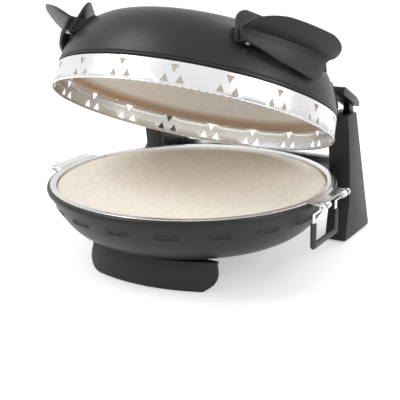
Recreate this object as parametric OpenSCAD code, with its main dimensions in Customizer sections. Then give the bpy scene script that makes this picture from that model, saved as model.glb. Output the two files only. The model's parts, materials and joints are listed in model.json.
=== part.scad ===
// Electric pizza maker: a bowl-shaped base on a front foot and two rear towers,
// a removable stone tray, and a domed lid that swings on hinge pins in the towers.
// Millimetres, +Z up, front towards -Y. Pieces are written about the bowl's centre and then
// moved back, so that the origin lies on the floor in the middle of the front foot's pad.
// Lid pieces are written closed and then turned open about the hinge.

/* [Pose] */
// How far the lid stands open, in degrees
lid_open = 24.6; // [0:0.1:60]

/* [Stone tray] */
// Height of the tray's flange above the floor
tray_top = 97.4; // [92:0.1:110]
// Outer radius of the tray's wall
tray_wall_r = 159.5; // [140:0.5:180]
// Width of the tray's flange
tray_flange_w = 6.5; // [4:0.5:9]
// Depth of the tray under its flange's top
tray_depth = 15.4; // [13.2:0.1:18]
// Thickness of the tray's sheet
tray_sheet = 1; // [0.8:0.1:1.6]
// Thickness of the stone
stone_t = 12; // [8:0.5:13]
// Gap round the stone
stone_gap = 0.5; // [0.2:0.1:3]
// Bevel on the stone's top edge
stone_bevel = 1.5; // [0.5:0.1:3]

/* [Base] */
// How far the bowl's top edge reaches past the tray's flange
bowl_lip = 1; // [0.5:0.5:4]
// Height of the bowl
bowl_h = 58; // [50:1:62]
// Power of the bowl's outline: higher is boxier
bowl_power = 7; // [4:0.5:9]
// Radius of the bowl's flat bottom
bowl_flat_r = 100; // [90:1:110]
// Thickness of the bowl's wall
bowl_wall = 1.6; // [1.2:0.1:2.5]
// How far the rim ring stands out from the bowl
rim_lip = 3; // [2:0.5:5]
// Height of the rim ring
rim_h = 6; // [4:0.5:8]
// Number of vents round the bowl and of hole groups round the lid band
groups = 18; // [12:1:20]
// Length of one vent
vent_l = 26; // [16:1:32]
// Height of one vent
vent_h = 3.4; // [2:0.2:6]
// Height of the vents above the floor
vent_z = 75; // [68:1:80]
// Radius of the access hole in the bowl's bottom
access_r = 62; // [40:1:70]
// Thickness of the bottom cover
cover_t = 1.6; // [1:0.1:3]

/* [Front foot] */
// Half the width of the foot at the floor
foot_half_w = 87; // [60:1:90]
// Radius of the foot's curved front in plan
foot_plan_r = 190; // [150:1:260]
// How far the foot's front stands from the bowl's centre at the floor
foot_front = 115; // [100:1:125]
// Thickness of the foot's wall
foot_wall = 3; // [2:0.5:5]
// Depth of the foot from front to back
foot_depth = 30; // [24:1:44]
// How much the foot draws in towards its top, at the front and at each end
foot_flare = 6; // [0:1:10]
// Radius of the foot's bottom corners
foot_corner = 17; // [4:1:20]
// Thickness of all rubber pads on the floor
pad_t = 2; // [1.5:0.5:4]

/* [Towers] */
// How far a tower's inner face lies in from the bowl's side
tower_inset = 48; // [45:0.5:50]
// Width of a tower
tower_w = 27; // [26:0.5:33]
// Height of a tower
tower_h = 161.2; // [158:0.1:161.4]
// Thickness of a tower's walls
tower_wall = 3; // [2:0.5:3.5]
// Radius of the tower's inner corner where the lid swings past
cheek_r = 41.5; // [38:0.5:41.5]
// Radius of the tower's rear shoulder round the hinge
shoulder_r = 33; // [30:0.5:33.5]

/* [Hinge] */
// How far the hinge axis lies in front of the bowl's rearmost point
hinge_inset = 7; // [5:0.5:9]
// Hinge axis above the floor
hinge_z = 127; // [125:0.5:129]
// Radius of a hinge pin
pin_r = 4; // [3:0.5:4.5]
// Radial running clearance between pin and bush
pin_fit = 0.05; // [0.02:0.01:0.09]
// Wall of the bush
bush_wall = 2; // [1.5:0.5:2.5]
// Thickness of the arm's web inside the tower
web_t = 8; // [6:0.5:9]
// Clearance beside the web
web_gap = 1.4; // [1:0.1:1.8]
// Gap between the closed arm and the tower's top
arm_gap = 0.4; // [0.3:0.1:0.8]

/* [Lid] */
// Height of the closed lid's rim above the floor
lid_z = 100; // [99.5:0.1:102]
// How far the tray's flange reaches past the band's bottom edge
band_inset = 0.1; // [0:0.1:2]
// How much narrower the band is at its top
band_taper = 1.7; // [0:0.1:3]
// Height of the band
band_h = 26; // [20:0.5:30]
// Thickness of the band's sheet
band_sheet = 1; // [0.8:0.1:1.4]
// Radius of the rolled bead at the band's bottom edge
bead_r = 1.1; // [0.8:0.1:1.3]
// Height of the dark trim ring above the band
trim_h = 2.2; // [1.5:0.1:3]
// How far the dome's lower edge steps in from the band's top
dome_step = 0.7; // [0.2:0.1:3]
// Height of the dome above the trim ring
dome_h = 72.3; // [60:0.1:80]
// Thickness of the dome's wall
dome_wall = 1.4; // [1.4:0.1:2.6]
// Width of one triangular hole
tri_w = 9.2; // [6:0.2:10]
// Height of one triangular hole
tri_h = 8.6; // [6:0.2:9]

/* [Lid handles] */
// Angle of each lid handle from the front, in degrees
handle_az = 62; // [50:1:70]
// Half the width of a handle
handle_half_w = 61.5; // [45:0.5:64]
// Thickness of the handle's skins
handle_t = 3; // [2:0.5:4]
// How far the handle's crease lies in from the dome's lower edge
crease_inset = 0.3; // [0:0.1:4]
// Height of the crease above the lid's rim
crease_h = 75; // [70:0.5:78]
// How far the wing's upper leaf reaches out from the crease
wing_reach = 25.3; // [15:0.1:30]
// How far the wing's upper leaf rises from the crease
wing_rise = 16.4; // [10:0.1:24]
// Depth of the wing's lower leaf at its front end
wing_drop_front = 13; // [8:0.5:20]
// Depth of the wing's lower leaf at its back end
wing_drop_back = 31; // [20:0.5:36]
// Height of the heat guard's top above the lid's rim
guard_top = 97.5; // [90:0.5:102]

/* [Wire handles] */
// Radius of the wire
wire_r = 2; // [1.5:0.1:2.4]
// How far the wire handle's pivot stands out from the tray's flange
wire_out = 15; // [13:0.5:20]
// Distance between the centres of the handle's legs
wire_w = 62; // [50:1:66]
// How far the handle hangs under its pivot
wire_drop = 47; // [40:1:54]
// How far the legs are cranked inwards
wire_crank = 12; // [6:0.5:13]
// Outer radius of the dark grip sleeve
grip_r = 3.4; // [3:0.1:4]

/* [Heating] */
// Radius of a heating element's tube
element_r = 3.5; // [3:0.1:4.5]
// Radius of the lower element's ring
lower_ring_r = 108; // [95:1:118]
// Radius of the upper element's ring
upper_ring_r = 92; // [70:1:100]

/* [Controls] */
// Radius of the control knob
knob_r = 13; // [10:0.5:14]
// Length of the control knob
knob_l = 14; // [10:0.5:18]

/* [Hidden] */
$fn = 96;

black = "#3a3b3d";
dark = "#1f2022";
steel = "#d9dadb";
far = 400;                                       // longer than any piece, for cuts
eps = 0.01;
touch = 0.1;                                     // gap between seated curved faces

// Plan sizes, worked out from the tray
tray_flange_r = tray_wall_r + tray_flange_w;
bowl_r = tray_flange_r + bowl_lip;
rim_r = bowl_r + rim_lip;
wire_x = tray_flange_r + wire_out;
band_r = tray_flange_r - band_inset;
dome_r = band_r - band_taper - dome_step;
tower_in = bowl_r - tower_inset;
tower_out = tower_in + tower_w;
hinge_y = bowl_r - hinge_inset;
bowl_y = foot_front - 10;                        // from the foot pad's middle back to the bowl's centre

// Levels of the base, worked down from the tray
tray_floor = tray_top - tray_depth;              // underside of the tray
rim_top = tray_top - tray_sheet;                 // the tray's flange lies on the rim ring
rim_bottom = rim_top - rim_h;
bowl_floor = rim_bottom - bowl_h;                // where the bowl's outline would close
bowl_bottom = bowl_z(bowl_flat_r);
stone_r = tray_wall_r - tray_sheet - stone_gap;
stone_top = tray_floor + tray_sheet + stone_t;
reflector_top = tray_floor - 0.3;
reflector_sheet = 1;
reflector_r = tray_wall_r - 3.5;
reflector_floor = reflector_top - 22;
lower_ring_z = reflector_floor + 14;
terminal_spread = 13;                            // angle of an element's ends from the rear
terminal_top = reflector_floor - 6;
terminal_size = [66, 20, 12];

// Lid levels, as heights above the closed lid's rim
trim_low = band_h;
dome_low = band_h + trim_h;
plate_flange_low = band_h - 2 * band_sheet;
lid_flange_in = band_r - band_taper - 6.7;       // inner radius of the stacked flanges
lid_screw_r = lid_flange_in + 2.3;
lid_screw_hole = 1.2;
plate_r = lid_flange_in - 2.5;                   // where the inner plate's dish starts
plate_rise = 33;
plate_sheet = 1;
upper_ring_h = plate_h(upper_ring_r) + plate_sheet + element_r + 0.4;

// Places along X inside a tower
tower_cover_x = tower_in + tower_wall;           // outer side of the inner cover
web_in = (tower_in + tower_out) / 2 + 1.5 - web_t / 2;
web_out = web_in + web_t;
cheek_x = tower_in + 8;                          // the inner corner is rounded up to here
arm_in = tower_in + 5;
arm_low = tower_h + arm_gap;
arm_top = arm_low + 10;
arm_front = hinge_y - 76;
arm_back = hinge_y - 18;
arm_neck_back = hinge_y - 38;

// A polygon's points with corner i rounded by radius radii[i]
function rounded(points, radii, steps = 6) =
    let (n = len(points))
    [for (i = [0 : n - 1])
        let (
            p = points[i],
            a = unit(points[(i + n - 1) % n] - p),
            b = unit(points[(i + 1) % n] - p),
            half = acos(max(-1, min(1, a * b))) / 2,
            r = radii[i]
        )
        for (q = r == 0 ? [p] : corner_arc(p, a, b, half, r, steps)) q];
function corner_arc(p, a, b, half, r, steps) =
    let (
        centre = p + unit(a + b) * r / sin(half),
        from = p + a * r / tan(half) - centre,
        to = p + b * r / tan(half) - centre
    )
    [for (k = [0 : steps])
        let (d = unit(from * (1 - k / steps) + to * (k / steps)))
        centre + r * d];
function unit(v) = v / norm(v);
// A curve with one control point
function bend(p, q, r, steps = 8) =
    [for (k = [0 : steps]) let (t = k / steps) (1 - t) * (1 - t) * p + 2 * t * (1 - t) * q + t * t * r];
// The outline of a sheet of thickness t whose one side follows the points
function sheet(points, t) =
    let (n = len(points))
    concat(points, [for (i = [n - 1 : -1 : 0])
        let (d = unit(points[min(i + 1, n - 1)] - points[max(i - 1, 0)]))
        points[i] + t * [-d[1], d[0]]]);
// Outlines of the round shells
function bowl_z(r) = bowl_floor + bowl_h * pow(r / bowl_r, bowl_power);
function bowl_line(steps = 26) =
    [for (i = [0 : steps]) let (r = bowl_flat_r + (bowl_r - bowl_flat_r) * i / steps) [r, bowl_z(r)]];
function dome_line(extra = 0, steps = 30) =
    [for (i = [0 : steps]) let (t = 90 * i / steps)
        [(dome_r + extra) * pow(cos(t), 1 / 3), dome_low + (dome_h + extra) * pow(sin(t), 1.4)]];
function plate_h(r) = plate_flange_low + plate_rise * pow(1 - pow(r / plate_r, 4), 0.6);
function plate_line(steps = 22) =
    [for (i = [0 : steps]) let (r = plate_r * sin(90 - 90 * i / steps)) [r, plate_h(r)]];

module lid_pose() {
    translate([0, hinge_y, hinge_z])
        rotate([-lid_open, 0, 0])
            translate([0, -hinge_y, -hinge_z])
                children();
}
module on_rim() { translate([0, 0, lid_z]) children(); }
module side(s) { mirror([s < 0 ? 1 : 0, 0, 0]) children(); }
module around(n, first = 0) { for (i = [0 : n - 1]) rotate([0, 0, first + 360 * i / n]) children(); }
module ring(r_in, r_out, z0, z1) {
    rotate_extrude() translate([r_in, z0]) square([r_out - r_in, z1 - z0]);
}
// A bar along X
module x_bar(x0, x1, y, z, r) {
    translate([x0, y, z]) rotate([0, 90, 0]) cylinder(r = r, h = x1 - x0);
}
// A slab along X with its outline given as [y, z] points
module x_slab(x0, x1, points) {
    translate([x0, 0, 0]) rotate([90, 0, 90]) linear_extrude(x1 - x0) polygon(points);
}
module box(low, high) { translate(low) cube(high - low); }
// A countersunk or round-headed screw pointing down, head on top at the origin
module screw(r, l, head_r, head_h) {
    translate([0, 0, -l]) cylinder(r = r, h = l, $fn = 24);
    cylinder(r1 = head_r, r2 = head_r * 0.7, h = head_h, $fn = 32);
}

// ---------- Base ----------
bottom_screw_r = access_r + 7;
vent_r = bowl_r * pow((vent_z - bowl_floor) / bowl_h, 1 / bowl_power);
module base_bowl() {
    color(black) difference() {
        rotate_extrude() polygon(sheet(concat([[0, bowl_bottom]], bowl_line()), bowl_wall));
        translate([0, 0, bowl_bottom - 1]) cylinder(r = access_r, h = bowl_wall + 2);
        translate([0, 0, rim_bottom]) cylinder(r = rim_r, h = rim_h);
        around(groups, -90)
            translate([vent_r - 8, -vent_l / 2, vent_z - vent_h / 2]) cube([16, vent_l, vent_h]);
        around(6) translate([bottom_screw_r, 0, 0]) cylinder(r = 1.5, h = tray_top, $fn = 24);
    }
}
module rim_ring() {
    in = tray_wall_r + 1.5;
    color(dark) rotate_extrude() polygon(rounded(
        [[in, rim_bottom], [rim_r - 1, rim_bottom], [rim_r, rim_bottom + rim_h * 0.55],
         [rim_r - 1.6, rim_top], [in, rim_top]],
        [0, 1.2, 1.5, 1.5, 0]));
}
module base_reflector() {
    line = [[0, reflector_floor], [reflector_r - 30, reflector_floor],
            [reflector_r - 8, reflector_top - reflector_sheet],
            [reflector_r + 1, reflector_top - reflector_sheet]];
    color("#cfd0d0") difference() {
        rotate_extrude() polygon(sheet(line, reflector_sheet));
        for (s = [-1, 1]) rotate([0, 0, 90 + s * terminal_spread])
            translate([lower_ring_r, 0, reflector_floor - 5]) cylinder(r = element_r + 1, h = 12);
    }
}
// A tube ring open at the rear, its two ends running down (or up) to terminals
module element(ring_r, z, end_z) {
    gap = terminal_spread;
    translate([0, 0, z]) rotate([0, 0, 90 + gap])
        rotate_extrude(angle = 360 - 2 * gap) translate([ring_r, 0]) circle(r = element_r, $fn = 40);
    low = min(z - element_r, end_z);
    high = max(z + element_r, end_z);
    for (s = [-1, 1]) rotate([0, 0, 90 + s * gap])
        translate([ring_r, 0, low]) cylinder(r = element_r, h = high - low, $fn = 40);
}
module lower_heating_element() {
    color("#5a5654") element(lower_ring_r, lower_ring_z, terminal_top - 4);
}
module lower_element_clips() {
    foot_z = reflector_floor + reflector_sheet;
    color(steel) difference() {
        around(4, 45) translate([lower_ring_r - 6, -3, foot_z]) cube([12, 6, lower_ring_z - foot_z + 1.5]);
        translate([0, 0, lower_ring_z])
            rotate_extrude() translate([lower_ring_r, 0]) circle(r = element_r + 0.05, $fn = 40);
    }
}
module thermal_cutout() {
    color("#e8e2d4") translate([40, -30, 0]) {
        translate([0, 0, reflector_floor - 7]) cylinder(r = 8, h = 7);
        translate([-1.5, -7, reflector_floor - 12]) cube([3, 2, 5]);
        translate([-1.5, 5, reflector_floor - 12]) cube([3, 2, 5]);
    }
}
module terminal_block() {
    post_y = lower_ring_r * cos(terminal_spread);
    color("#e9e4d8") difference() {
        union() {
            translate([-terminal_size[0] / 2, post_y - terminal_size[1] / 2, terminal_top - terminal_size[2]])
                cube(terminal_size);
            for (x = [-12, 12]) translate([x, post_y, terminal_top])
                cylinder(r = 4, h = reflector_floor - terminal_top, $fn = 32);
        }
        for (s = [-1, 1]) rotate([0, 0, 90 + s * terminal_spread])
            translate([lower_ring_r, 0, terminal_top - 4]) cylinder(r = element_r, h = 10, $fn = 40);
    }
}
module bottom_cover() {
    color(dark) difference() {
        ring(0, bottom_screw_r + 8, bowl_bottom - cover_t, bowl_bottom);
        translate([0, 0, bowl_bottom - cover_t - 1]) {
            around(6) translate([bottom_screw_r, 0, 0]) cylinder(r = 1.7, h = cover_t + 2, $fn = 24);
            for (x = [-24 : 12 : 24]) translate([x - 2, -25, 0]) cube([4, 50, cover_t + 2]);
        }
    }
}
module base_screws() {
    color("#b8babc") around(6) translate([bottom_screw_r, 0, bowl_bottom - cover_t])
        mirror([0, 0, 1]) screw(1.5, 6, 3.2, 1.6);
}
// ---------- Front foot ----------
foot_centre = foot_plan_r - foot_front;          // the plan arc's centre behind the bowl's
foot_top = bowl_bottom - touch;
foot_back = foot_depth - foot_front;
foot_ribs = [-60, -22, 22, 60];
foot_lean = foot_flare / (foot_top - pad_t);
module foot_space(inset, z0, z1) {
    translate([0, foot_centre, z0])
        cylinder(r1 = foot_plan_r - inset - foot_lean * (z0 - pad_t),
                 r2 = foot_plan_r - inset - foot_lean * (z1 - pad_t), h = z1 - z0, $fn = 180);
}
module foot_front_outline() {
    rotate([90, 0, 0]) linear_extrude(far) polygon(rounded(
        [[-foot_half_w, pad_t], [foot_half_w, pad_t],
         [foot_half_w - foot_flare, foot_top], [foot_flare - foot_half_w, foot_top]],
        [foot_corner, foot_corner, 0, 0]));
}
// A curved skirt with a flange under the bowl, a sole and ribs, open at the back
module front_foot() {
    color(black) difference() {
        intersection() {
            foot_front_outline();
            foot_space(0, pad_t, foot_top);
            box([-far, -far, 0], [far, foot_back, far]);
        }
        difference() {
            foot_space(foot_wall, pad_t + foot_wall, bowl_bottom - foot_wall);
            for (x = foot_ribs) box([x - foot_wall / 2, -far, 0], [x + foot_wall / 2, far, far]);
        }
    }
}
module front_foot_pad() {
    pad_half = foot_half_w - foot_corner - 1;
    color(dark) intersection() {
        translate([0, foot_centre, 0]) difference() {
            cylinder(r = foot_plan_r - foot_wall, h = pad_t, $fn = 180);
            translate([0, 0, -1]) cylinder(r = foot_plan_r - foot_wall - 14, h = pad_t + 2, $fn = 180);
        }
        box([-pad_half, -far, 0], [pad_half, foot_back, pad_t]);
    }
}
// ---------- Rear yoke and plates ----------
yoke_z = [43, 88];
lug_low = 66;
lug_in = tower_in - 27;
yoke_front = hinge_y - 32;
yoke_wall = 3;
yoke_face = bowl_r + 0.6;                        // front of the yoke's upright plate
yoke_back = yoke_face + yoke_wall;
// The bowl and all that lies over its underside, grown by a gap
module under_bowl(gap) {
    rotate_extrude() polygon(concat([[0, bowl_bottom - gap], [bowl_flat_r, bowl_bottom - gap]],
        [for (p = bowl_line()) p + [gap, -gap]], [[bowl_r + gap, tray_top], [0, tray_top]]));
}
module rear_yoke() {
    color(dark) difference() {
        union() {
            box([-tower_in, yoke_face, yoke_z[0]], [tower_in, yoke_back, yoke_z[1]]);
            box([-tower_in, yoke_front + 8, yoke_z[0]], [tower_in, yoke_back, yoke_z[0] + yoke_wall]);
            for (s = [-1, 1]) side(s) {
                box([lug_in, yoke_front, lug_low], [tower_in, yoke_back, yoke_z[1]]);
                box([tower_in - yoke_wall, yoke_front + 12, yoke_z[0]], [tower_in, yoke_back, lug_low + eps]);
            }
        }
        under_bowl(touch);
        for (s = [-1, 1]) side(s) for (z = yoke_screw_z)
            x_bar(tower_in - 12, tower_in + 1, yoke_screw_y, z, 2);
    }
}
yoke_screw_y = hinge_y - 2;
yoke_screw_z = [54, 77];
module yoke_screws() {
    color("#b8babc") for (s = [-1, 1]) side(s) for (z = yoke_screw_z) {
        x_bar(tower_in - 12, tower_cover_x, yoke_screw_y, z, 2);
        x_bar(tower_cover_x, tower_cover_x + 2.2, yoke_screw_y, z, 4);
    }
}
module rear_cross_plate() {
    color(steel) box([-tower_in, yoke_back, yoke_z[1] - 6], [tower_in, yoke_back + 1.5, tray_top + 0.4]);
}
// ---------- Towers ----------
tower_foot_back = hinge_y + 54;
tower_foot_r = 12;
// The front of a tower from the floor up, as [y, z]
tower_line = [[hinge_y - 35, pad_t], [hinge_y - 24.5, 50], [hinge_y - 26, 92], [hinge_y - 34, 145],
              [hinge_y - 39, tower_h]];
function tower_outline(inset) =
    let (
        r = shoulder_r - inset,
        arc = [for (a = [0 : 10 : 90]) if (hinge_z + r * sin(a) <= tower_h - inset)
            [hinge_y + r * cos(a), hinge_z + r * sin(a)]],
        shoulder_y = hinge_y + sqrt(pow(r, 2) - pow(min(tower_h - inset - hinge_z, r), 2))
    )
    concat(
        [for (i = [0 : 3]) tower_line[i] + [inset, i == 0 ? inset : 0]],
        [[tower_line[4][0] + inset, tower_h - inset]],
        [[shoulder_y, min(tower_h, hinge_z + shoulder_r) - inset]],
        [for (i = [len(arc) - 1 : -1 : 0]) arc[i]],
        [for (a = [20 : -22 : -90])
            [tower_foot_back - tower_foot_r + (tower_foot_r - inset) * cos(a),
             pad_t + tower_foot_r + (tower_foot_r - inset) * sin(a)]]);
// Everything behind the slanting rear corner
rear_lean = 14.15;                               // angle of the slanting corner from upright
module rear_corner(inset) {
    translate([tower_out - inset, tower_foot_back - 8, 4]) rotate([0, 0, -45]) rotate([rear_lean, 0, 0])
        translate([-far / 2, 0, -far]) cube([far, far, 2 * far]);
}
// Where the lid swings past the tower's inner corner
module lid_sweep(r) {
    difference() {
        box([0, hinge_y - 100, hinge_z - 12], [cheek_x, hinge_y, tower_h + 1]);
        x_bar(-1, cheek_x + 1, hinge_y, hinge_z, r);
    }
}
module tower_solid(x0, x1, inset) {
    difference() {
        x_slab(x0, x1, tower_outline(inset));
        rear_corner(inset);
    }
}
slot_lip = 8;                                    // height of the slot's cut across the tower's top
slot_front = 24;                                 // from the hinge to the front of the slot
module tower(knob_side) {
    boss_r = pin_r + 5;
    slot_in = web_in - web_gap;
    slot_out = web_out + web_gap;
    color(black) difference() {
        union() {
            difference() {
                tower_solid(tower_cover_x, tower_out, 0);
                tower_solid(tower_cover_x - 1, tower_out - tower_wall, tower_wall);
                lid_sweep(cheek_r);
            }
            // the wall that closes the rounded inner corner
            intersection() {
                tower_solid(tower_cover_x, cheek_x + tower_wall, 0);
                box([0, hinge_y - 100, hinge_z - 12], [tower_out, hinge_y, tower_h]);
                difference() {
                    union() {
                        x_bar(tower_cover_x, cheek_x + tower_wall, hinge_y, hinge_z, cheek_r);
                        x_bar(cheek_x, cheek_x + tower_wall, hinge_y, hinge_z, 2 * cheek_r);
                    }
                    x_bar(tower_cover_x - 1, cheek_x + tower_wall + 1, hinge_y, hinge_z,
                          cheek_r - tower_wall);
                }
            }
            intersection() {
                x_bar(slot_out, tower_out - tower_wall + eps, hinge_y, hinge_z, boss_r);
                tower_solid(0, tower_out, 0);
            }
        }
        x_bar(slot_in, tower_out - tower_wall + 1.5, hinge_y, hinge_z, pin_r);
        box([slot_in, tower_line[4][0] + tower_wall + 2, tower_h - slot_lip], [slot_out, far, far]);
        box([slot_in, hinge_y - slot_front, hinge_z - 15], [slot_out, far, far]);
        if (knob_side) x_bar(tower_out - tower_wall - 1, tower_out + 1, knob_y, knob_z, 4);
        if (knob_side) x_bar(tower_out - tower_wall - 1, tower_out + 1, knob_y, lamp_z, 3);
        if (knob_side) translate([inlet_x, inlet_y - 18, inlet_z])
            rotate([-90, 0, 0]) cylinder(r = 5, h = 60);
    }
}
module tower_cover(s) {
    color(black) side(s) difference() {
        union() {
            tower_solid(tower_in, tower_cover_x, 0);
            x_bar(tower_cover_x - eps, web_in - web_gap, hinge_y, hinge_z, pin_r + 5);
        }
        lid_sweep(cheek_r);
        x_bar(tower_in - 1, tower_out, hinge_y, hinge_z, pin_r);
        for (z = yoke_screw_z) x_bar(tower_in - 1, tower_cover_x + 1, yoke_screw_y, z, 2);
    }
}
module tower_pad(s) {
    color(dark) side(s)
        box([tower_in + 4, tower_line[0][0] + 5, 0], [tower_out - 4, tower_foot_back - 22, pad_t]);
}
module hinge_pin(s) {
    color(steel) side(s) x_bar(tower_in + 0.5, tower_out - tower_wall + 1.5, hinge_y, hinge_z, pin_r);
}
module hinge_washers() {
    t = web_gap - 0.2;
    color(steel) for (s = [-1, 1]) side(s) for (x = [web_in - web_gap, web_out + web_gap - t]) difference() {
        x_bar(x, x + t, hinge_y, hinge_z, pin_r + 4);
        x_bar(x - 1, x + t + 1, hinge_y, hinge_z, pin_r);
    }
}
// ---------- Controls, on the left tower's outer side ----------
knob_y = hinge_y - 2;
knob_z = 76;
lamp_z = 104;
inlet_x = (tower_in + tower_out) / 2 - 3;
inlet_y = tower_foot_back - 0.4;                 // where the gland's flange meets the tower's back
inlet_z = 24;
module thermostat() {
    inner_x = tower_out - tower_wall;
    color("#cfcabd") side(-1) {
        box([inner_x - 12, knob_y - 14, knob_z - 14], [inner_x, knob_y + 14, knob_z + 14]);
        x_bar(inner_x, tower_out + knob_l - 3, knob_y, knob_z, 3);
    }
}
module control_knob() {
    x0 = tower_out + 0.4;
    color(dark) side(-1) difference() {
        union() {
            x_bar(x0, x0 + 4, knob_y, knob_z, knob_r + 2);
            x_bar(x0 + 4 - eps, x0 + knob_l, knob_y, knob_z, knob_r - 1);
            box([x0 + 4, knob_y - 2, knob_z], [x0 + knob_l + 1, knob_y + 2, knob_z + knob_r]);
        }
        x_bar(x0 - 1, tower_out + knob_l - 2.7, knob_y, knob_z, 3 + pin_fit);
    }
}
module pilot_lamp() {
    color("#c8502a") side(-1) {
        x_bar(tower_out - tower_wall - 8, tower_out, knob_y, lamp_z, 3);
        x_bar(tower_out, tower_out + 1.2, knob_y, lamp_z, 4.2);
    }
}
module cord_inlet() {
    color(dark) side(-1) translate([inlet_x, inlet_y - 18, inlet_z]) rotate([-90, 0, 0]) difference() {
        union() {
            cylinder(r = 5, h = 24);
            translate([0, 0, 18]) cylinder(r1 = 7.5, r2 = 6.5, h = 6);
        }
        translate([0, 0, -1]) cylinder(r = 3.2, h = 40);
    }
}
// ---------- Stone tray ----------
module stone_tray() {
    w = tray_sheet;
    in = tray_wall_r - w;
    color(steel) rotate_extrude() polygon(
        [[0, tray_floor], [tray_wall_r, tray_floor], [tray_wall_r, tray_top - w],
         [tray_flange_r, tray_top - w], [tray_flange_r, tray_top], [in, tray_top],
         [in, tray_floor + w], [0, tray_floor + w]]);
}
module stone_plate() {
    low = tray_floor + tray_sheet;
    color("#efe6d6") rotate_extrude() polygon(
        [[0, low], [stone_r, low], [stone_r, stone_top - stone_bevel],
         [stone_r - stone_bevel, stone_top], [0, stone_top]]);
}
bracket_half_w = 36;
bracket_t = 1.6;
eye_wall = 1.4;
eye_l = 9;
pivot_z = tray_top - tray_sheet - wire_r - 0.35 + bracket_t - eye_wall + 0.6;
module tray_bracket(s) {
    eye_r = wire_r + 0.35 + eye_wall;
    color(steel) side(s) difference() {
        union() {
            difference() {
                box([tray_flange_r - 30, -bracket_half_w, rim_top],
                    [wire_x, bracket_half_w, rim_top + bracket_t]);
                translate([0, 0, rim_top - 1]) cylinder(r = tray_flange_r, h = 10);
            }
            for (y = [-1, 1])
                translate([wire_x, y * (wire_w / 2 - wire_r - 1) + (y > 0 ? -eye_l : 0), pivot_z])
                rotate([-90, 0, 0]) cylinder(r = eye_r, h = eye_l, $fn = 40);
            for (y = [-1, 1]) translate([wire_x, y * bracket_half_w + (y > 0 ? -3 : 0), pivot_z])
                rotate([-90, 0, 0]) cylinder(r = eye_r, h = 3, $fn = 40);
        }
        translate([wire_x, -bracket_half_w - 1, pivot_z]) rotate([-90, 0, 0])
            cylinder(r = wire_r + 0.35, h = 2 * bracket_half_w + 2, $fn = 40);
        for (y = [-1, 1]) translate([wire_x - 5, y * wire_w / 2 - 3, rim_top - 20]) cube([20, 6, 40]);
    }
}
// The wire's line in one half of the handle, as [x, y, z]
leg_y = wire_w / 2;
crank_z = pivot_z - 10;
low_z = pivot_z - wire_drop;
module rod(p, q, r) {
    d = q - p;
    translate(p) rotate([0, acos(d[2] / norm(d)), atan2(d[1], d[0])]) cylinder(r = r, h = norm(d), $fn = 40);
}
module ball(p, r) { translate(p) sphere(r = r, $fn = 40); }
module wire_handle(s) {
    low_x = wire_x - wire_crank;
    color(steel) side(s) {
        for (y = [-1, 1]) {
            rod([wire_x, y * (leg_y - wire_r - 1 - eye_l), pivot_z], [wire_x, y * leg_y, pivot_z], wire_r);
            ball([wire_x, y * leg_y, pivot_z], wire_r);
            rod([wire_x, y * leg_y, pivot_z], [low_x, y * leg_y, crank_z], wire_r);
            ball([low_x, y * leg_y, crank_z], wire_r);
            rod([low_x, y * leg_y, crank_z], [low_x, y * leg_y, low_z], wire_r);
            ball([low_x, y * leg_y, low_z], wire_r);
        }
        rod([low_x, -leg_y, low_z], [low_x, leg_y, low_z], wire_r);
    }
}
grip_top = low_z + 26;
module grip_sleeve(s) {
    low_x = wire_x - wire_crank;
    color(dark) side(s) difference() {
        union() {
            for (y = [-1, 1]) {
                rod([low_x, y * leg_y, grip_top], [low_x, y * leg_y, low_z], grip_r);
                ball([low_x, y * leg_y, low_z], grip_r);
            }
            rod([low_x, -leg_y, low_z], [low_x, leg_y, low_z], grip_r);
        }
        for (y = [-1, 1]) {
            rod([low_x, y * leg_y, grip_top + 1], [low_x, y * leg_y, low_z], wire_r);
            ball([low_x, y * leg_y, low_z], wire_r);
        }
        rod([low_x, -leg_y, low_z], [low_x, leg_y, low_z], wire_r);
    }
}
// ---------- Lid, written closed with its rim at height 0 ----------
module lid_shell() {
    color(black) lid_pose() difference() {
        on_rim() rotate_extrude() polygon(concat(dome_line(),
            [for (i = [30 : -1 : 0]) let (t = 90 * i / 30)
                [(dome_r - dome_wall) * pow(cos(t), 1 / 3),
                 dome_low + dome_wall + (dome_h - 2 * dome_wall) * pow(sin(t), 1.4)]],
            [[lid_flange_in, dome_low + dome_wall], [lid_flange_in, dome_low]]));
        on_rim() lid_screw_holes();
        for (s = [-1, 1]) side(s) arm_screw_places() translate([0, 0, -12]) cylinder(r = 2, h = 12, $fn = 24);
    }
}
module lid_screw_holes() {
    around(8, 22.5) translate([lid_screw_r, 0, 0]) cylinder(r = lid_screw_hole, h = dome_low + 4, $fn = 24);
}
module lid_trim_ring() {
    color(dark) lid_pose() on_rim() difference() {
        ring(lid_flange_in, dome_r - 1.8, trim_low, dome_low);
        lid_screw_holes();
    }
}
// One group: a triangle pointing down over two pointing up
module hole_group() {
    r = band_r - 12;
    pitch = tri_w * 0.88;
    low = band_h * 0.15;
    mid = low + tri_h + 1.6;
    translate([r, 0, 0]) rotate([90, 0, 90]) linear_extrude(24) {
        polygon([[-tri_w / 2, mid + tri_h], [tri_w / 2, mid + tri_h], [0, mid]]);
        for (s = [-1, 1]) translate([s * pitch, low]) polygon([[-tri_w / 2, 0], [tri_w / 2, 0], [0, tri_h]]);
    }
}
module lid_band() {
    w = band_sheet;
    top_r = band_r - band_taper;
    color(steel) lid_pose() on_rim() difference() {
        union() {
            rotate_extrude() polygon(
                [[band_r - w, bead_r], [band_r, bead_r], [top_r, band_h], [lid_flange_in, band_h],
                 [lid_flange_in, band_h - w], [top_r - w, band_h - w]]);
            rotate_extrude() translate([band_r - w / 2, bead_r]) circle(r = bead_r, $fn = 24);
        }
        around(groups, -90) hole_group();
        lid_screw_holes();
    }
}
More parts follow.
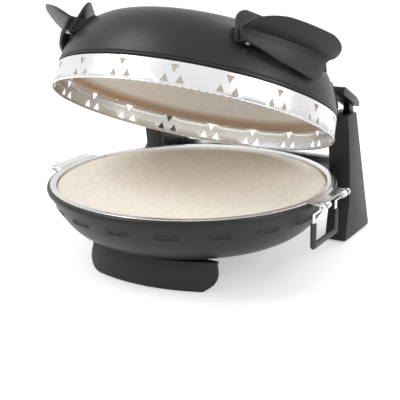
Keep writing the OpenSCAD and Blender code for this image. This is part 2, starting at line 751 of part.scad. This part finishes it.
module lid_inner_plate() {
    out = band_r - band_taper - 1.6;
    color("#e9dccb") lid_pose() on_rim() difference() {
        rotate_extrude() polygon(sheet(concat([[out, plate_flange_low]], plate_line()), -plate_sheet));
        lid_screw_holes();
    }
}
module lid_screws() {
    color("#b8babc") lid_pose() on_rim() around(8, 22.5)
        translate([lid_screw_r, 0, plate_flange_low]) mirror([0, 0, 1]) screw(lid_screw_hole, 7, 2.6, 1.5);
}
module upper_heating_element() {
    color("#5a5654") lid_pose() on_rim() element(upper_ring_r, upper_ring_h, upper_ring_h + 14);
}
module upper_element_clips() {
    low = plate_h(upper_ring_r + 7) + plate_sheet;
    color(steel) lid_pose() on_rim() difference() {
        around(4, 45) translate([upper_ring_r - 6, -3, low]) cube([12, 6, upper_ring_h + 1.5 - low]);
        rotate_extrude() polygon(concat([[0, 0], [plate_r, 0]],
            [for (p = plate_line()) p + [0, plate_sheet * 1.1]]));
        translate([0, 0, upper_ring_h])
            rotate_extrude() translate([upper_ring_r, 0]) circle(r = element_r + 0.05, $fn = 40);
    }
}
// ---------- Lid arms ----------
arm_plate_t = 4;
arm_plate_h = [43, 72];
arm_plate_az = [27, 52];
module dome_solid(extra) {
    rotate_extrude() polygon(concat(dome_line(extra), [[0, dome_low - 20], [dome_r + extra, dome_low - 20]]));
}
function dome_r_at(h) = dome_r * pow(1 - pow((h - dome_low) / dome_h, 1 / 0.7), 1 / 6);
module arm_screw_places() {
    for (az = [33, 46], h = [48, 56]) rotate([0, 0, az])
        translate([dome_r_at(h) + arm_plate_t, 0, lid_z + h]) rotate([0, 90, 0]) children();
}
module lid_arm(s) {
    block = rounded([[arm_front, arm_low], [arm_back, arm_low], [arm_back, arm_low + 5],
                     [arm_back - 12, arm_top - 1], [arm_front, arm_top]], [2, 1.5, 3, 6, 3]);
    neck = rounded([[arm_front, arm_low], [arm_neck_back, arm_low], [arm_neck_back, arm_top - 1],
                    [arm_front, arm_top]], [2, 2, 3, 3]);
    web = [[arm_back - 14, arm_low + 2], [hinge_y - 10, hinge_z - 6], [hinge_y + 9, hinge_z + 8],
           [arm_back, arm_low + 2]];
    color(dark) lid_pose() side(s) difference() {
        union() {
            x_slab(web_in, web_out, web);
            x_bar(web_in, web_out, hinge_y, hinge_z, 12);
            // the block over the tower and its neck in to the mounting plate
            difference() {
                union() {
                    x_slab(arm_in, tower_out, block);
                    x_slab(tower_in - 23, arm_in + eps, neck);
                }
                on_rim() dome_solid(touch);
            }
            intersection() {
                on_rim() difference() {
                    dome_solid(arm_plate_t);
                    dome_solid(touch);
                }
                translate([0, 0, lid_z + arm_plate_h[0]]) rotate([0, 0, arm_plate_az[0]])
                    rotate_extrude(angle = arm_plate_az[1] - arm_plate_az[0])
                        square([200, arm_plate_h[1] - arm_plate_h[0]]);
            }
        }
        x_bar(web_in - 1, web_out + 1, hinge_y, hinge_z, pin_r + pin_fit + bush_wall);
        arm_screw_places() {
            translate([0, 0, -12]) cylinder(r = 2, h = 13, $fn = 24);
            cylinder(r = 3.8, h = 6, $fn = 32);
        }
    }
}
module hinge_bush(s) {
    color("#b08d4a") lid_pose() side(s) difference() {
        x_bar(web_in, web_out, hinge_y, hinge_z, pin_r + pin_fit + bush_wall);
        x_bar(web_in - 1, web_out + 1, hinge_y, hinge_z, pin_r + pin_fit);
    }
}
module lid_arm_screws() {
    color("#b8babc") lid_pose() for (s = [-1, 1]) side(s) arm_screw_places() screw(2, 9, 3.6, 2);
}
// ---------- Lid handles ----------
// A handle is written with X out from the lid's axis, Y across and Z up, and then turned to its angle
crease = [dome_r - crease_inset, crease_h];
wing_tip = crease + [wing_reach, wing_rise];
wing_low = crease - [1.2, wing_drop_back];
wing_angle = 26;
guard_corner = 17;
guard_foot = [crease[0] - 12.5, crease_h - 13];
guard_tip = [crease[0] - 25, guard_top];
stems = [-49, 38];                               // where the stems stand across the handle
stem_w = 18;
stem_low = crease_h - 15;
module handle_place(s) {
    lid_pose() on_rim() side(s) rotate([0, 0, handle_az - 90]) children();
}
wing_corner = 0.4;                               // the upper leaf's corners over the crease
// The wing's outline seen from outside, as [across, height]: a half moon over a lower leaf
// that grows deeper towards the back
function half_moon(steps = 24) =
    [for (k = [0 : steps]) let (a = 180 * k / steps, c = cos(a))
        [handle_half_w * sign(c) * pow(abs(c), 1 / 1.15),
         crease_h + wing_corner + (wing_rise - wing_corner) * pow(sin(a), 1 / 1.15)]];
wing_lower_outline = rounded(
    [[-handle_half_w, crease_h], [1.5 - handle_half_w, crease_h - wing_drop_front],
     [-16, crease_h - 0.8 * wing_drop_back], [44, crease_h - wing_drop_back],
     [50, crease_h - 8], [handle_half_w, crease_h]],
    [0, 4, 60, 9, 8, 0]);
// The section of both leaves along their inner face, from the lower edge over the crease to the tip
function wing_line() =
    concat(bend(wing_low, wing_low + [6, 14], crease), bend(crease, crease + [14, 5], wing_tip));
module wing_skin() {
    back = [for (p = wing_line()) p + handle_t * [0.85, -0.5]];
    rotate([0, 0, -wing_angle]) rotate_extrude(angle = 2 * wing_angle, $fn = 180)
        polygon(concat(wing_line(), [for (i = [len(back) - 1 : -1 : 0]) back[i]]));
}
module handle_wing(s) {
    color(black) handle_place(s) intersection() {
        wing_skin();
        rotate([90, 0, 90]) linear_extrude(far)
            polygon(concat(half_moon(), [for (i = [1 : len(wing_lower_outline) - 2]) wing_lower_outline[i]]));
    }
}
module wing_inside() {
    rotate([0, 0, -wing_angle - 4]) rotate_extrude(angle = 2 * wing_angle + 8, $fn = 180)
        polygon(concat([[0, wing_low[1]]], wing_line(), [[0, wing_tip[1]]]));
}
// An upright heat guard that leans in, on two stems and a plate that follows the dome
module handle_guard(s) {
    face = bend(guard_foot, guard_foot + [-6, 14], guard_tip);
    top = guard_top + 0.5;
    outline = rounded([[-handle_half_w, stem_low], [handle_half_w, stem_low], [handle_half_w, top],
                       [-handle_half_w, top]], [3, 3, guard_corner, guard_corner]);
    color(dark) handle_place(s) difference() {
        union() {
            intersection() {
                translate([0, handle_half_w, 0]) rotate([90, 0, 0]) linear_extrude(2 * handle_half_w)
                    polygon(concat(face, [for (i = [len(face) - 1 : -1 : 0]) face[i] - [handle_t, 0.3]]));
                rotate([90, 0, 90]) linear_extrude(far) polygon(outline);
            }
            intersection() {
                union() for (y = stems)
                    box([100, y - stem_w / 2, stem_low], [wing_tip[0], y + stem_w / 2, crease_h + 1]);
                translate([-touch, 0, 0]) wing_inside();
            }
            intersection() {
                difference() {
                    dome_solid(2.5);
                    dome_solid(touch);
                }
                box([100, stems[0], stem_low], [180, -stems[0], crease_h + 9]);
            }
        }
        dome_solid(touch);
    }
}
module handle_screws() {
    color("#b8babc") for (s = [-1, 1]) handle_place(s) for (y = stems)
        translate([crease[0] - 10, y, stem_low]) mirror([0, 0, 1]) cylinder(r = 3.2, h = 1.8, $fn = 32);
}

module at_origin() { translate([0, bowl_y, 0]) children(); }
at_origin() base_bowl();
at_origin() rim_ring();
at_origin() base_reflector();
at_origin() lower_heating_element();
at_origin() lower_element_clips();
at_origin() thermal_cutout();
at_origin() terminal_block();
at_origin() bottom_cover();
at_origin() base_screws();
at_origin() front_foot();
at_origin() front_foot_pad();
at_origin() rear_yoke();
at_origin() rear_cross_plate();
at_origin() yoke_screws();
at_origin() side(-1) tower(true);  // tower_left
at_origin() tower(false);  // tower_right
at_origin() tower_cover(-1);  // tower_cover_left
at_origin() tower_cover(1);  // tower_cover_right
at_origin() tower_pad(-1);  // tower_pad_left
at_origin() tower_pad(1);  // tower_pad_right
at_origin() hinge_pin(-1);  // hinge_pin_left
at_origin() hinge_pin(1);  // hinge_pin_right
at_origin() hinge_washers();
at_origin() cord_inlet();
at_origin() thermostat();
at_origin() control_knob();
at_origin() pilot_lamp();
at_origin() stone_tray();
at_origin() stone_plate();
at_origin() tray_bracket(-1);  // tray_bracket_left
at_origin() tray_bracket(1);  // tray_bracket_right
at_origin() wire_handle(-1);  // wire_handle_left
at_origin() wire_handle(1);  // wire_handle_right
at_origin() grip_sleeve(-1);  // grip_sleeve_left
at_origin() grip_sleeve(1);  // grip_sleeve_right
at_origin() lid_shell();
at_origin() lid_trim_ring();
at_origin() lid_band();
at_origin() lid_inner_plate();
at_origin() lid_screws();
at_origin() upper_heating_element();
at_origin() upper_element_clips();
at_origin() lid_arm(-1);  // lid_arm_left
at_origin() lid_arm(1);  // lid_arm_right
at_origin() hinge_bush(-1);  // hinge_bush_left
at_origin() hinge_bush(1);  // hinge_bush_right
at_origin() lid_arm_screws();
at_origin() handle_wing(-1);  // handle_wing_left
at_origin() handle_wing(1);  // handle_wing_right
at_origin() handle_guard(-1);  // handle_guard_left
at_origin() handle_guard(1);  // handle_guard_right
at_origin() handle_screws();
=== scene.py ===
# The looks of the pizza maker: finishes for its pieces, and the spun, pressed and rounded
# shapes that show. Profiles are in millimetres, and objects in metres.
import json
import math

import bmesh
import bpy
from mathutils import Matrix, Vector


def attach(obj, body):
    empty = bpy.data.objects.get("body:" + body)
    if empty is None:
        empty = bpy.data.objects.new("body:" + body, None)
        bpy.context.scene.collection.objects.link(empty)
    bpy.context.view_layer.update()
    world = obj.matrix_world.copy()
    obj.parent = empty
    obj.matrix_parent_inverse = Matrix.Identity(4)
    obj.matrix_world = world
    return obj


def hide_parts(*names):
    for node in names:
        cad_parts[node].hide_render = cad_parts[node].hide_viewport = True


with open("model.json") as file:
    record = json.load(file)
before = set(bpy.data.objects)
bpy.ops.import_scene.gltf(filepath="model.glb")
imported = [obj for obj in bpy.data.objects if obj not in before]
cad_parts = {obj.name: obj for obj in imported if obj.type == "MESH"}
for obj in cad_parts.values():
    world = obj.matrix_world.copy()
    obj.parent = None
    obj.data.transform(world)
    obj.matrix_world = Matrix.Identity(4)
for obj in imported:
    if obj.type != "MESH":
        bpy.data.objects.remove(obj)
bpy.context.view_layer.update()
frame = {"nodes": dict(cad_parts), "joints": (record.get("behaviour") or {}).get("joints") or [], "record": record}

MM = 0.001
MERGE_GAP = 1e-6  # metres within which two vertices are one

nodes = frame["nodes"]
bodies = frame["record"]["behaviour"]["bodies"]
body_of_node = {node: body for body, members in bodies.items() for node in members}
slot_of_node = {row["node"]: row["material_slot"] for row in frame["record"]["subparts"]}

hinge = next(j for j in frame["joints"] if j["name"] == "lid_hinge")
hinge_place = Vector(hinge["pos_m"])
lid_open = -math.radians(hinge["range_deg"][0])
hinge_behind_bowl = 0.160
bowl_y = hinge_place.y - hinge_behind_bowl

# ---------- Camera, at the photograph's viewing angle ----------
camera_place = Vector((0.57818, bowl_y - 1.00411, 0.41871))
camera_azimuth = math.radians(29.48)
camera_elevation = math.radians(16.78)
camera_roll = math.radians(-0.73)
camera_lens = 91.72
camera_reach = 20


def set_camera():
    data = bpy.data.cameras.new("camera")
    data.lens = camera_lens
    data.sensor_width = 36
    data.clip_end = camera_reach
    camera = bpy.data.objects.new("camera", data)
    bpy.context.scene.collection.objects.link(camera)
    sin_a, cos_a = math.sin(camera_azimuth), math.cos(camera_azimuth)
    cos_e = math.cos(camera_elevation)
    ahead = Vector((-sin_a * cos_e, cos_a * cos_e, -math.sin(camera_elevation)))
    level = Vector((cos_a, sin_a, 0))
    above = level.cross(ahead)
    right = level * math.cos(camera_roll) + above * math.sin(camera_roll)
    up = above * math.cos(camera_roll) - level * math.sin(camera_roll)
    turn = Matrix((right, up, -ahead)).transposed().to_4x4()
    camera.matrix_world = Matrix.Translation(camera_place) @ turn
    bpy.context.scene.camera = camera


set_camera()


# ---------- Finishes ----------
class Finish:
    """A node material with its principled shader and the helpers that its finish needs."""

    def __init__(self, name, color, roughness, metallic=0.0):
        self.material = bpy.data.materials.new(name)
        self.material.use_nodes = True
        self.tree = self.material.node_tree
        self.shader = self.tree.nodes["Principled BSDF"]
        self.set("Base Color", (*color, 1))
        self.set("Roughness", roughness)
        self.set("Metallic", metallic)
        self.place = self.tree.nodes.new("ShaderNodeTexCoord").outputs["Object"]

    def set(self, socket, value):
        self.shader.inputs[socket].default_value = value

    def node(self, kind, **values):
        made = self.tree.nodes.new(kind)
        for key, value in values.items():
            setattr(made, key, value)
        return made

    def link(self, out, into):
        self.tree.links.new(out, into)

    def noise(self, scale, detail=4.0, stretch=(1, 1, 1)):
        mapping = self.node("ShaderNodeMapping")
        mapping.inputs["Scale"].default_value = stretch
        self.link(self.place, mapping.inputs["Vector"])
        noise = self.node("ShaderNodeTexNoise")
        noise.inputs["Scale"].default_value = scale
        noise.inputs["Detail"].default_value = detail
        self.link(mapping.outputs["Vector"], noise.inputs["Vector"])
        return noise.outputs["Fac"]

    def spread(self, fac, low, high, start=0.3, stop=0.7):
        """A factor remapped from start..stop to low..high."""
        remap = self.node("ShaderNodeMapRange")
        limits = {"From Min": start, "From Max": stop, "To Min": low, "To Max": high}
        for socket, value in limits.items():
            remap.inputs[socket].default_value = value
        self.link(fac, remap.inputs["Value"])
        return remap.outputs["Result"]

    def mottle(self, fac, dark, light, start=0.3, stop=0.7):
        """Base colour between two tones by a factor."""
        ramp = self.node("ShaderNodeValToRGB")
        for stop_point, place, tone in zip(ramp.color_ramp.elements, (start, stop), (dark, light)):
            stop_point.position = place
            stop_point.color = (*tone, 1)
        self.link(fac, ramp.inputs["Fac"])
        self.link(ramp.outputs["Color"], self.shader.inputs["Base Color"])
        return ramp.outputs["Color"]

    def rough(self, fac, low, high):
        self.link(self.spread(fac, low, high), self.shader.inputs["Roughness"])

    def bump(self, fac, height, strength):
        bump = self.node("ShaderNodeBump")
        bump.inputs["Strength"].default_value = strength
        bump.inputs["Distance"].default_value = height
        self.link(fac, bump.inputs["Height"])
        self.link(bump.outputs["Normal"], self.shader.inputs["Normal"])

    def lid_radius(self):
        """How far a point of the lid lies from the lid's own axis, in metres."""
        turn_back = Matrix.Rotation(lid_open, 4, "X")
        mapping = self.node("ShaderNodeMapping")
        mapping.inputs["Location"].default_value = hinge_place - turn_back @ hinge_place
        mapping.inputs["Rotation"].default_value = turn_back.to_euler()
        self.link(self.place, mapping.inputs["Vector"])
        from_axis = self.node("ShaderNodeVectorMath", operation="SUBTRACT")
        from_axis.inputs[1].default_value = (0, bowl_y, 0)
        self.link(mapping.outputs["Vector"], from_axis.inputs[0])
        flat = self.node("ShaderNodeVectorMath", operation="MULTIPLY")
        flat.inputs[1].default_value = (1, 1, 0)
        self.link(from_axis.outputs["Vector"], flat.inputs[0])
        radius = self.node("ShaderNodeVectorMath", operation="LENGTH")
        self.link(flat.outputs["Vector"], radius.inputs[0])
        return radius.outputs["Value"]


def satin_paint(name, tone, roughness):
    """Heat-proof paint on pressed steel: even, faintly pebbled, a soft sheen."""
    paint = Finish(name, (tone,) * 3, roughness)
    paint.set("Specular IOR Level", 0.3)
    darker = (tone * 0.92, tone * 0.93, tone * 0.96)
    lighter = (tone * 1.07, tone * 1.08, tone * 1.1)
    paint.mottle(paint.noise(9, 3), darker, lighter)
    paint.rough(paint.noise(260, 3), roughness - 0.04, roughness + 0.05)
    paint.bump(paint.noise(1500, 2), 0.00003, 0.5)
    return paint.material


rolled_streaks = (1, 1, 14)
brushed_streaks = (1, 1, 6)


def bright_steel():
    """Rolled stainless sheet with a near-mirror face, cloudy tones and faint streaks along it."""
    steel = Finish("bright_steel", (0.8, 0.8, 0.81), 0.16, 1.0)
    steel.mottle(steel.noise(7, 1), (0.7, 0.7, 0.715), (0.88, 0.88, 0.885), 0.36, 0.64)
    steel.rough(steel.noise(60, 4, rolled_streaks), 0.2, 0.3)
    steel.bump(steel.noise(900, 2, brushed_streaks), 0.00001, 0.3)
    return steel.material


def reflection_tinted_steel():
    """The band's inner face, dulled, with a painted reflection of warm light as its pinkish-beige tint."""
    steel = Finish("reflection_tinted_steel", (0.9, 0.79, 0.72), 0.36, 0.5)
    steel.mottle(steel.noise(9, 2), (0.88, 0.75, 0.67), (0.94, 0.86, 0.8), 0.36, 0.64)
    steel.rough(steel.noise(60, 4, rolled_streaks), 0.34, 0.46)
    steel.bump(steel.noise(900, 2), 0.00001, 0.3)
    return steel.material


def plated_wire():
    wire = Finish("plated_wire", (0.78, 0.78, 0.79), 0.2, 1.0)
    wire.rough(wire.noise(300, 3), 0.14, 0.28)
    return wire.material


tan_starts, tan_full = 0.148, 0.154  # radii of the tan ring at the inner plate's edge, in metres


def cream_enamel():
    """The lid's inner plate: smooth cream, with a tan ring near its edge."""
    enamel = Finish("cream_enamel", (0.88, 0.82, 0.74), 0.3)
    ring = enamel.spread(enamel.lid_radius(), 0.0, 1.0, tan_starts, tan_full)
    cloud = enamel.mottle(enamel.noise(5, 3), (0.88, 0.82, 0.74), (0.94, 0.9, 0.84))
    tan = enamel.node("ShaderNodeMix", data_type="RGBA")
    tan.inputs["B"].default_value = (0.5, 0.34, 0.21, 1)
    enamel.link(ring, tan.inputs["Factor"])
    enamel.link(cloud, tan.inputs["A"])
    enamel.link(tan.outputs["Result"], enamel.shader.inputs["Base Color"])
    enamel.rough(enamel.noise(120, 3), 0.26, 0.36)
    enamel.bump(enamel.noise(900, 2), 0.00003, 0.4)
    return enamel.material


def fired_stone():
    """Cordierite baking stone: pale beige, even, with a fine closed grain."""
    stone = Finish("fired_stone", (0.86, 0.8, 0.71), 0.8)
    stone.mottle(stone.noise(160, 8), (0.81, 0.74, 0.64), (0.89, 0.83, 0.75), 0.34, 0.62)
    stone.rough(stone.noise(350, 3), 0.72, 0.9)
    stone.bump(stone.noise(1100, 5), 0.00012, 0.6)
    return stone.material


def grained(name, tone, roughness):
    """Moulded rubber or plastic with a fine spark-eroded grain."""
    moulded = Finish(name, (tone,) * 3, roughness)
    moulded.mottle(moulded.noise(30, 3), (tone * 0.9,) * 3, (tone * 1.12,) * 3)
    moulded.rough(moulded.noise(400, 2), roughness - 0.06, roughness + 0.06)
    moulded.bump(moulded.noise(1800, 2), 0.00005, 0.6)
    return moulded.material


def metal(name, color, smoothest, roughest):
    made = Finish(name, color, smoothest, 1.0)
    made.rough(made.noise(200, 3), smoothest, roughest)
    made.bump(made.noise(800, 2), 0.00002, 0.3)
    return made.material


def tinted(name, dark, light, roughness):
    made = Finish(name, dark, roughness)
    made.mottle(made.noise(80, 4), dark, light)
    made.rough(made.noise(300, 3), roughness - 0.06, roughness + 0.08)
    made.bump(made.noise(1200, 3), 0.00004, 0.5)
    return made.material


finishes = {
    "satin_black": satin_paint("satin_black", 0.019, 0.38),
    "satin_plastic": satin_paint("satin_plastic", 0.021, 0.42),
    "dark_metal": satin_paint("dark_metal", 0.013, 0.36),
    "rubber": grained("rubber", 0.025, 0.85),
    "black_plastic": grained("black_plastic", 0.035, 0.5),
    "reflector": metal("reflector", (0.8, 0.8, 0.81), 0.22, 0.34),
    "element_steel": metal("element_steel", (0.16, 0.15, 0.14), 0.5, 0.65),
    "ceramic": tinted("ceramic", (0.74, 0.71, 0.64), (0.84, 0.81, 0.75), 0.6),
    "bright_steel": bright_steel(),
    "zinc_screw": metal("zinc_screw", (0.62, 0.63, 0.64), 0.28, 0.4),
    "lamp_lens": tinted("lamp_lens", (0.6, 0.12, 0.03), (0.75, 0.2, 0.05), 0.15),
    "brass": metal("brass", (0.75, 0.56, 0.26), 0.25, 0.4),
    "thermostat_case": tinted("thermostat_case", (0.66, 0.63, 0.55), (0.74, 0.71, 0.64), 0.5),
    "stone": fired_stone(),
    "enamel_cream": cream_enamel(),
}
wire_finish = plated_wire()
# The band's inner face: a pinkish-beige tint that is a painted reflection of warm light
band_reflection_finish = reflection_tinted_steel()


def finish_of(node):
    if node.startswith("wire_handle"):
        return wire_finish
    return finishes[slot_of_node[node]]


# ---------- Making pieces ----------
merged_smoothing = 32  # degrees between faces that are shaded as one
spun_smoothing = 30
pressed_smoothing = 50


def lid_turn():
    """From closed-lid places to places at rest."""
    back = Matrix.Translation(hinge_place)
    return back @ Matrix.Rotation(-lid_open, 4, "X") @ back.inverted()


def object_from(bm, name, smooth_angle=35):
    mesh = bpy.data.meshes.new(name)
    bm.to_mesh(mesh)
    bm.free()
    mesh.shade_smooth()
    mesh.set_sharp_from_angle(angle=math.radians(smooth_angle))
    piece = bpy.data.objects.new(name, mesh)
    bpy.context.scene.collection.objects.link(piece)
    return piece


def dress(piece, node):
    """The piece stands for a node: it takes the finish of the node's slot, and the node's body."""
    piece.data.materials.clear()
    piece.data.materials.append(finish_of(node))
    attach(piece, body_of_node[node])
    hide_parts(node)


def merged_copy(node):
    """A bmesh of a node with its loose triangles joined up."""
    bm = bmesh.new()
    bm.from_mesh(nodes[node].data)
    bmesh.ops.remove_doubles(bm, verts=bm.verts, dist=MERGE_GAP)
    return bm


def smoothed(node):
    """A copy of a node with its curved faces shaded smooth."""
    dress(object_from(merged_copy(node), node + "_made", merged_smoothing), node)


def softened(node, width):
    """A copy of a node with its edges rounded."""
    bm = merged_copy(node)
    flat = math.radians(1.5)
    bmesh.ops.dissolve_limit(bm, angle_limit=flat, verts=bm.verts, edges=bm.edges)
    least = math.radians(32)
    sharp = [e for e in bm.edges if len(e.link_faces) == 2 and e.calc_face_angle(0) > least]
    bmesh.ops.bevel(
        bm, geom=sharp, offset=width * MM, offset_type="OFFSET", affect="EDGES",
        segments=2, profile=0.5, material=-1, clamp_overlap=True,
    )
    dress(object_from(bm, node + "_made"), node)


def turned(profile, steps=192):
    """A bmesh spun round the bowl's axis from a closed line of (radius, height) points."""
    bm = bmesh.new()
    verts = [bm.verts.new((r * MM, bowl_y, z * MM)) for r, z in profile]
    edges = [bm.edges.new(pair) for pair in zip(verts, verts[1:] + verts[:1])]
    bmesh.ops.spin(
        bm, geom=verts + edges, cent=(0, bowl_y, 0), axis=(0, 0, 1),
        angle=math.tau, steps=steps, use_merge=True,
    )
    bmesh.ops.remove_doubles(bm, verts=bm.verts, dist=MERGE_GAP)
    bmesh.ops.recalc_face_normals(bm, faces=bm.faces)
    return bm


# ---------- Lid dome, spun with a groove over its lower edge ----------
dome_radius, dome_height, dome_wall = 163.45, 72.25, 1.4
dome_edge = 128.2  # height of the dome's lower edge over the floor when the lid is closed
flange_inner = 157.5
groove_low, groove_high, groove_depth = 1.9, 3.1, 0.7


def dome_curve(inset, steps=48):
    """The dome's outline from its edge to its crown, inset from the outer face."""
    points = []
    for k in range(steps + 1):
        t = math.pi / 2 * k / steps
        radius = 0 if k == steps else (dome_radius - inset) * math.cos(t) ** (1 / 3)
        height = inset + (dome_height - 2 * inset) * math.sin(t) ** 1.4
        points.append((radius, dome_edge + height))
    return points


def add_dome():
    groove_radius = dome_radius - groove_depth
    groove = [
        (dome_radius, dome_edge),
        (dome_radius, dome_edge + groove_low),
        (groove_radius, dome_edge + groove_low + 0.2),
        (groove_radius, dome_edge + groove_high - 0.2),
        (dome_radius - 0.05, dome_edge + groove_high + 0.3),
    ]
    above = [point for point in dome_curve(0) if point[1] > dome_edge + groove_high + 1.0]
    inner = dome_curve(dome_wall)[::-1]
    flange = [(flange_inner, dome_edge + dome_wall), (flange_inner, dome_edge)]
    bm = turned(groove + above + inner + flange)
    bmesh.ops.transform(bm, matrix=lid_turn(), verts=bm.verts)
    dress(object_from(bm, "dome", spun_smoothing), "lid_shell")


# ---------- Perforated band, tray and rim ----------
def add_band():
    """The perforated band, its inner face in a finish of its own, tinted with a painted reflection of warm light.
    """
    bm = merged_copy("lid_band")
    closed = lid_turn().inverted()
    inward = -0.8
    for face in bm.faces:
        out = closed @ face.calc_center_median() - Vector((0, bowl_y, 0))
        out.z = 0
        if (closed.to_3x3() @ face.normal).dot(out.normalized()) < inward:
            face.material_index = 1
    band = object_from(bm, "perforated_band", merged_smoothing)
    dress(band, "lid_band")
    band.data.materials.append(band_reflection_finish)


# A dished sheet with a flange, and a ring with a rolled outer edge
tray_line = [
    (0, 82), (158.7, 82), (159.5, 82.8), (159.5, 96.4),
    (165.6, 96.4), (166, 96.7), (166, 97.1), (165.6, 97.4),
    (159.3, 97.4), (158.7, 97.1), (158.5, 96.5), (158.5, 83.6), (157.9, 83), (0, 83),
]
rim_line = [
    (161, 90.4), (168.2, 90.4), (169.2, 90.8), (169.8, 92.8), (169.8, 94),
    (169.2, 95.4), (168.3, 96.2), (166.8, 96.4), (161, 96.4),
]


def add_tray_and_rim():
    dress(object_from(turned(tray_line), "baking_tray", spun_smoothing), "stone_tray")
    dress(object_from(turned(rim_line), "base_rim", spun_smoothing), "rim_ring")


# ---------- Embossed slots round the bowl ----------
slot_count = 18
slot_radius, slot_level = 159.8, 75.0
slot_up = Vector((0.4723, 0.8814))  # along the bowl's face, as (outwards, upwards)
slot_out = Vector((0.8814, -0.4723))  # square out of the bowl's face
# Each line of a pressing, as (half length, half height, how far it stands out)
slot_rings = (
    (15.2, 4.0, -0.5), (14.7, 3.6, 0.55), (14.2, 3.1, 0.7), (13.6, 2.4, 0.1), (13.2, 2.0, -0.25),
)


def slot_outline(bm, half_length, half_height, lift, turn):
    """One closed pill-shaped line that lies on the bowl at an angle round it."""
    end_steps = 8
    verts = []
    for end in (1, -1):
        for k in range(end_steps + 1):
            a = math.pi * (k / end_steps - 0.5)
            across = end * (half_length - half_height + half_height * math.cos(a))
            along = end * half_height * math.sin(a)
            place = slot_up * along + slot_out * lift
            angle = turn + across / slot_radius
            radius = (slot_radius + place.x) * MM
            verts.append(bm.verts.new((
                radius * math.cos(angle),
                bowl_y + radius * math.sin(angle),
                (slot_level + place.y) * MM,
            )))
    return [bm.edges.new(pair) for pair in zip(verts, verts[1:] + verts[:1])]


def add_slots():
    bm = bmesh.new()
    for k in range(slot_count):
        turn = math.tau * k / slot_count - math.pi / 2
        rings = [slot_outline(bm, *ring, turn) for ring in slot_rings]
        for low, high in zip(rings, rings[1:]):
            bmesh.ops.bridge_loops(bm, edges=low + high)
        bmesh.ops.contextual_create(bm, geom=rings[0])
        bmesh.ops.contextual_create(bm, geom=rings[-1])
    bmesh.ops.recalc_face_normals(bm, faces=bm.faces)
    slots = object_from(bm, "embossed_slots", pressed_smoothing)
    slots.data.materials.append(finish_of("base_bowl"))
    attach(slots, body_of_node["base_bowl"])


# ---------- Every node's finish, and the pieces that stand for some of them ----------
for name, piece in nodes.items():
    piece.data.materials.clear()
    piece.data.materials.append(finish_of(name))

# Width of the rounding on each node's edges
softened_edges = {
    "front_foot": 1.0, "tower_left": 1.4, "tower_right": 1.4, "rear_yoke": 0.6,
    "lid_arm_left": 0.8, "lid_arm_right": 0.8, "handle_wing_left": 0.9, "handle_wing_right": 0.9,
    "handle_guard_left": 0.8, "handle_guard_right": 0.8, "control_knob": 0.6,
    "tray_bracket_left": 0.3, "tray_bracket_right": 0.3, "rear_cross_plate": 0.3,
}
for name, width in softened_edges.items():
    softened(name, width)
for name in (
    "base_bowl", "stone_plate", "lid_trim_ring", "lid_inner_plate", "base_reflector",
    "wire_handle_left", "wire_handle_right", "grip_sleeve_left", "grip_sleeve_right",
    "upper_heating_element", "lower_heating_element", "tower_cover_left", "tower_cover_right",
    "hinge_pin_left", "hinge_pin_right", "cord_inlet",
):
    smoothed(name)
add_dome()
add_band()
add_tray_and_rim()
add_slots()


# ---------- Floor, backdrop and light ----------
floor_half = 6.0
floor_tone = 0.86
floor_lift = 0.42  # makes the floor white where the camera or a reflection sees it
world_light, world_seen = 0.6, 1.0


def seen_directly(tree):
    """1 where the camera or a reflection sees the surface, and 0 where it only gives light."""
    path = tree.nodes.new("ShaderNodeLightPath")
    seen = tree.nodes.new("ShaderNodeMath")
    seen.operation = "MAXIMUM"
    tree.links.new(path.outputs["Is Camera Ray"], seen.inputs[0])
    tree.links.new(path.outputs["Is Glossy Ray"], seen.inputs[1])
    return seen.outputs["Value"]


def add_stage():
    bm = bmesh.new()
    bmesh.ops.create_grid(bm, x_segments=1, y_segments=1, size=floor_half)
    floor = object_from(bm, "floor")
    material = bpy.data.materials.new("floor")
    material.use_nodes = True
    tree = material.node_tree
    shader = tree.nodes["Principled BSDF"]
    shader.inputs["Base Color"].default_value = (floor_tone, floor_tone, floor_tone, 1)
    shader.inputs["Roughness"].default_value = 0.7
    lift = tree.nodes.new("ShaderNodeMath")
    lift.operation = "MULTIPLY"
    lift.inputs[1].default_value = floor_lift
    tree.links.new(seen_directly(tree), lift.inputs[0])
    shader.inputs["Emission Color"].default_value = (1, 1, 1, 1)
    tree.links.new(lift.outputs["Value"], shader.inputs["Emission Strength"])
    floor.data.materials.append(material)


def add_world():
    world = bpy.data.worlds.new("studio")
    bpy.context.scene.world = world
    world.use_nodes = True
    tree = world.node_tree
    background = tree.nodes["Background"]
    background.inputs["Color"].default_value = (1, 1, 1, 1)
    level = tree.nodes.new("ShaderNodeMapRange")
    level.inputs["To Min"].default_value = world_light
    level.inputs["To Max"].default_value = world_seen
    tree.links.new(seen_directly(tree), level.inputs["Value"])
    tree.links.new(level.outputs["Result"], background.inputs["Strength"])


def add_softbox(name, place, width, power):
    """A square lamp that points at the middle of the part."""
    data = bpy.data.lights.new(name, "AREA")
    data.shape = "RECTANGLE"
    data.size = width
    data.size_y = width
    data.energy = power
    lamp = bpy.data.objects.new(name, data)
    bpy.context.scene.collection.objects.link(lamp)
    aim = Vector((0, bowl_y, 0.12)) - Vector(place)
    turn = aim.to_track_quat("-Z", "Y").to_matrix().to_4x4()
    lamp.matrix_world = Matrix.Translation(place) @ turn


add_stage()
add_world()
add_softbox("key", (-1.3, -1.0, 2.2), 1.4, 34)
add_softbox("side", (2.2, 0.1, 1.1), 1.2, 20)
add_softbox("back", (0.3, 1.9, 1.6), 1.2, 14)
bpy.context.scene.view_settings.view_transform = "Standard"
